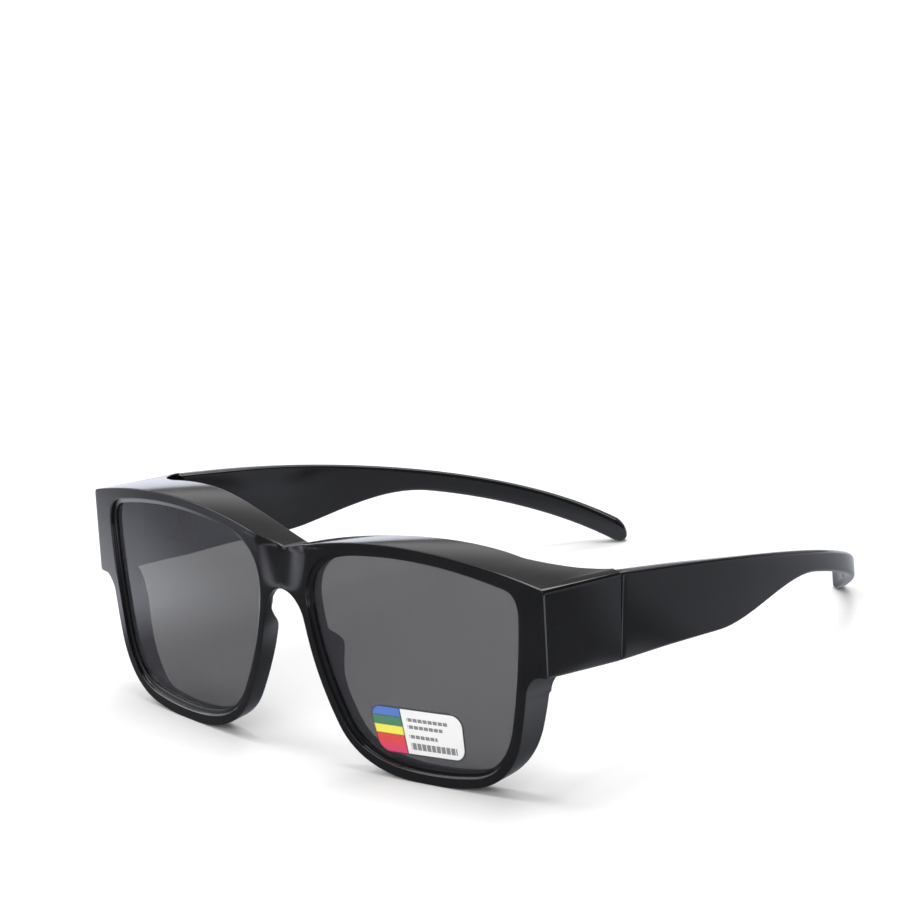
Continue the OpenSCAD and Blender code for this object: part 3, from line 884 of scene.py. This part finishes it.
def brushed_metal(name, tone, roughness):
    """Plated hinge metal with a fine brush along the leaf and darker spots of wear."""
    f = new_finish(name)
    stretched = f.wire("ShaderNodeMapping", {}, {"Vector": f.place(), "Scale": (3000, 300, 3000)})
    brush = f.wire("ShaderNodeTexNoise", {}, {"Vector": stretched, "Scale": 1.0, "Detail": 3.0})
    spots = f.noise(900, 4).ease(0.5, 0.75)
    dark = tuple(c * 0.6 for c in tone) + (1,)
    return f.surface(Base_Color=f.blend(spots * 0.6, tone + (1,), dark), Metallic=1.0,
                     Roughness=roughness + brush * 0.15 + spots * 0.1, Normal=f.bump(brush, 0.000004))


def dress(obj, material):
    obj.data.materials.clear()
    obj.data.materials.append(material)


def finish_piece(obj, body, slot, material, *nodes):
    dress(obj, material)
    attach(obj, body)
    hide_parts(*nodes)


frame_black = gloss_black("frame_black", 0.09)
temple_black = gloss_black("temple_black", 0.11)
finish_piece(front_shell(), "front", "frame_black", frame_black, "front_frame")
lens_finish = smoke_lens()
for side in SIDES:
    finish_piece(lens(side), "front", "lens_smoke", lens_finish,
                 *[f"lens_{layer}_{side}" for layer in ("front", "film", "back")])
    finish_piece(temple(side), side + "_temple", "temple_black", temple_black, "temple_" + side)

sticker_face = LENS_SET - STICKER["t"]
sticker_outline = round_box(STICKER["w"], STICKER["h"], STICKER["r"], 8)
label = film("sticker_label", sticker_outline, sticker_face, LENS_SET - GLUE_GAP)
finish_piece(label, "front", "sticker_white", label_film(), "sticker_base")
stripe_end = STICKER["stripe_w"] - STICKER["w"] / 2
stripe_outline = [p for p in sticker_outline if p[0] < 0]
stripe_outline += [Vector((stripe_end, -STICKER["h"] / 2)), Vector((stripe_end, STICKER["h"] / 2))]
stripes = film("sticker_stripe_field", stripe_outline, sticker_face - STICKER["stripe_t"],
               sticker_face - PRINT_GAP)
finish_piece(stripes, "front", "sticker_print", stripe_print(), "sticker_stripes")

leaf_metal = brushed_metal("leaf_metal", (0.05, 0.05, 0.054), 0.3)
screw_metal = brushed_metal("screw_metal", (0.12, 0.12, 0.125), 0.24)
for name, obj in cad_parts.items():
    if name.startswith("hinge_screw"):
        dress(obj, screw_metal)
    elif name.startswith("hinge_") or "_rivets_" in name:
        dress(obj, leaf_metal)


BLACK = (0, 0, 0, 1)
WHITE = (1, 1, 1, 1)
# Painted reflections: patches where the table glows for glossy rays only, set so that given parts of the
# glasses catch a painted highlight. The highest level and the cool tint, the level all over, and what each
# patch adds
PAINTED_REFLECTION_PEAK = 3.0
PAINTED_REFLECTION_TINT = (0.94, 0.96, 1.06, 1)
PAINTED_REFLECTION_BASE = 0.22
PAINTED_REFLECTION_AREAS = {"left": 2.2, "shield": 0.9, "corner": 2, "seam": 0.25, "slim": 0.15, "rear": 0.4,
                "inner": 0.3, "bridge": 1.3}


def painted_reflection_areas(x, y):
    """Where each painted reflection patch of the table lies, as shares of its level."""
    across = x - y
    rear = y - x * 0.5
    return {"left": y.ease(-0.16, -0.09) * (0 - x).ease(0.1, 0.15) * (1 - y.ease(0, 0.1)),
            "shield": x.ease(0.06, 0.1) * (1 - x.ease(0.115, 0.135)) * (1 - y.ease(-0.01, 0.02)),
            "corner": across.ease(0.22, 0.3) * x.ease(0.08, 0.13) * (1 - across.ease(0.35, 0.5)),
            "seam": rear.ease(-0.05, -0.02),
            "slim": rear.ease(0.04, 0.1),
            "rear": rear.ease(0.12, 0.2),
            "inner": rear.ease(0.04, 0.08) * (0.05 - x).ease(0, 0.03),
            "bridge": (0 - x).ease(0.13, 0.2) * (1 - y.ease(-0.3, -0.1)) * (1 - (0 - x - y).ease(0.65, 1))}


def table():
    """White table that shows the shadow of the glasses. For glossy rays it glows with painted reflections,
    a dim level with bright patches, which the camera doesn't see.
    """
    mesh = bpy.data.meshes.new("table")
    s = 4.0
    mesh.from_pydata([(-s, -s, 0), (s, -s, 0), (s, s, 0), (-s, s, 0)], [], [(0, 1, 2, 3)])
    obj = bpy.data.objects.new("table", mesh)
    bpy.context.collection.objects.link(obj)
    f = new_finish("table_white")
    white = f.blend(f.noise(300, 3), (0.92, 0.92, 0.92, 1), (0.94, 0.94, 0.94, 1))
    lit = f.wire("ShaderNodeBsdfDiffuse", {}, {"Color": white})
    at = f.node("ShaderNodeSeparateXYZ", {}, {0: f.place()})
    x = Wire(f, at.outputs["X"])
    y = Wire(f, at.outputs["Y"])
    far = (x * x + y * y).root().ease(0.25, 1.2)
    glow = f.wire("ShaderNodeEmission", {}, {"Color": f.blend(far, BLACK, WHITE), "Strength": 1.0})
    both = f.wire("ShaderNodeAddShader", {}, {0: lit, 1: glow})
    # Painted reflection: an emission that only glossy rays see, so the gloss shows bright and dark areas
    # that the table doesn't have
    level = PAINTED_REFLECTION_BASE
    for name, area in painted_reflection_areas(x, y).items():
        level = level + PAINTED_REFLECTION_AREAS[name] * area
    painted_reflection = f.wire("ShaderNodeEmission", {}, {"Color": f.blend(level / PAINTED_REFLECTION_PEAK, BLACK, PAINTED_REFLECTION_TINT),
                                                 "Strength": PAINTED_REFLECTION_PEAK})
    rays = f.node("ShaderNodeLightPath")
    glossy = Wire(f, rays.outputs["Is Glossy Ray"])
    camera_ray = Wire(f, rays.outputs["Is Camera Ray"])
    shader = f.wire("ShaderNodeMixShader", {}, {0: glossy, 1: lit, 2: painted_reflection})
    shader = f.wire("ShaderNodeMixShader", {}, {0: camera_ray, 1: shader, 2: both})
    f.node("ShaderNodeOutputMaterial", {}, {"Surface": shader})
    mesh.materials.append(f.owner)


# Levels of the room that the gloss mirrors, and the level that lights dull surfaces
ROOM_PEAK = 4.2
ROOM_DARK = 0.1
ROOM_BEHIND = 0.45
ROOM_FALL = 0.3
ROOM_EDGE = 3.5
ROOM_FILL = 0.42


def studio():
    """White round the glasses for the camera, and a room that is bright to the left and behind."""
    world = bpy.data.worlds.new("studio")
    bpy.context.scene.world = world
    f = Finish(world)
    direction = f.node("ShaderNodeSeparateXYZ", {}, {0: f.wire("ShaderNodeTexCoord", output="Generated")})
    x = Wire(f, direction.outputs["X"])
    y = Wire(f, direction.outputs["Y"])
    z = Wire(f, direction.outputs["Z"])
    behind_left = (y * 0.7 - x * 0.7).ease(0.3, 0.9) * z.ease(0.01, 0.1)
    edge_light = (0 - x * 0.68 - y * 0.3 + z * 0.64).ease(0.68, 0.93)
    room = ROOM_DARK + behind_left * (ROOM_BEHIND - ROOM_FALL * z.ease(0.12, 0.35)) + ROOM_EDGE * edge_light
    rays = f.node("ShaderNodeLightPath")
    camera_ray = Wire(f, rays.outputs["Is Camera Ray"])
    glossy = Wire(f, rays.outputs["Is Glossy Ray"])
    through = Wire(f, rays.outputs["Is Transmission Ray"])
    level = mix_wires(mix_wires(ROOM_FILL, room, glossy), 1.0, camera_ray + through)
    background = f.wire("ShaderNodeBackground", {}, {"Color": f.blend(level / ROOM_PEAK, BLACK, WHITE),
                                                     "Strength": ROOM_PEAK})
    f.node("ShaderNodeOutputWorld", {}, {"Surface": background})


def mix_wires(a, b, mask):
    """The value a where mask is 0, and b where it is 1."""
    return mask * b + (1 - mask) * a


def softbox(name, place_m, aim_m, size, power):
    data = bpy.data.lights.new(name, "AREA")
    data.shape = "RECTANGLE"
    data.size, data.size_y = size
    data.energy = power
    obj = bpy.data.objects.new(name, data)
    bpy.context.collection.objects.link(obj)
    obj.location = place_m
    obj.rotation_euler = (Vector(aim_m) - Vector(place_m)).to_track_quat("-Z", "Y").to_euler()


# Place, size in metres and power in watts of each softbox
SOFTBOXES = [("left", (-0.9, -0.1, 0.9), (0.8, 0.8), 6), ("back", (-0.3, 1.0, 1.1), (0.8, 0.7), 6),
             ("top", (0.0, 0.1, 1.3), (0.6, 0.6), 8), ("front", (0.35, -1.2, 0.75), (1.3, 0.9), 7)]
SOFTBOX_AIM = (0, 0, 0.03)

# The photograph's camera, found from the glasses' known sizes
CAMERA = {"aim": Vector((0, 0.050 - MIDDLE_Y * MM, 0.028)), "azimuth": math.radians(45.515),
          "elevation": math.radians(18.827), "roll": math.radians(-5.194), "distance": 1.03623,
          "focal_px": 4288.65, "centre_px": (436.643, 579.954)}
IMAGE = 900
SENSOR = 36


def camera():
    azimuth, elevation, roll = (CAMERA[key] for key in ("azimuth", "elevation", "roll"))
    back_dir = Vector((math.sin(azimuth) * math.cos(elevation), -math.cos(azimuth) * math.cos(elevation),
                       math.sin(elevation)))
    right = Vector((math.cos(azimuth), math.sin(azimuth), 0))
    up = back_dir.cross(right)
    turned_right = right * math.cos(roll) + up * math.sin(roll)
    turned_up = up * math.cos(roll) - right * math.sin(roll)
    data = bpy.data.cameras.new("camera")
    data.sensor_width = SENSOR
    data.lens = CAMERA["focal_px"] * SENSOR / IMAGE
    data.shift_x = (IMAGE / 2 - CAMERA["centre_px"][0]) / IMAGE
    data.shift_y = (CAMERA["centre_px"][1] - IMAGE / 2) / IMAGE
    data.clip_start = 0.01
    obj = bpy.data.objects.new("camera", data)
    bpy.context.collection.objects.link(obj)
    turn = Matrix((turned_right, turned_up, back_dir)).transposed().to_4x4()
    obj.matrix_world = Matrix.Translation(CAMERA["aim"] + back_dir * CAMERA["distance"]) @ turn
    bpy.context.scene.camera = obj


table()
studio()
for where, place_m, size, power in SOFTBOXES:
    softbox(where + "_softbox", place_m, SOFTBOX_AIM, size, power)
camera()
bpy.context.scene.view_settings.view_transform = "Standard"
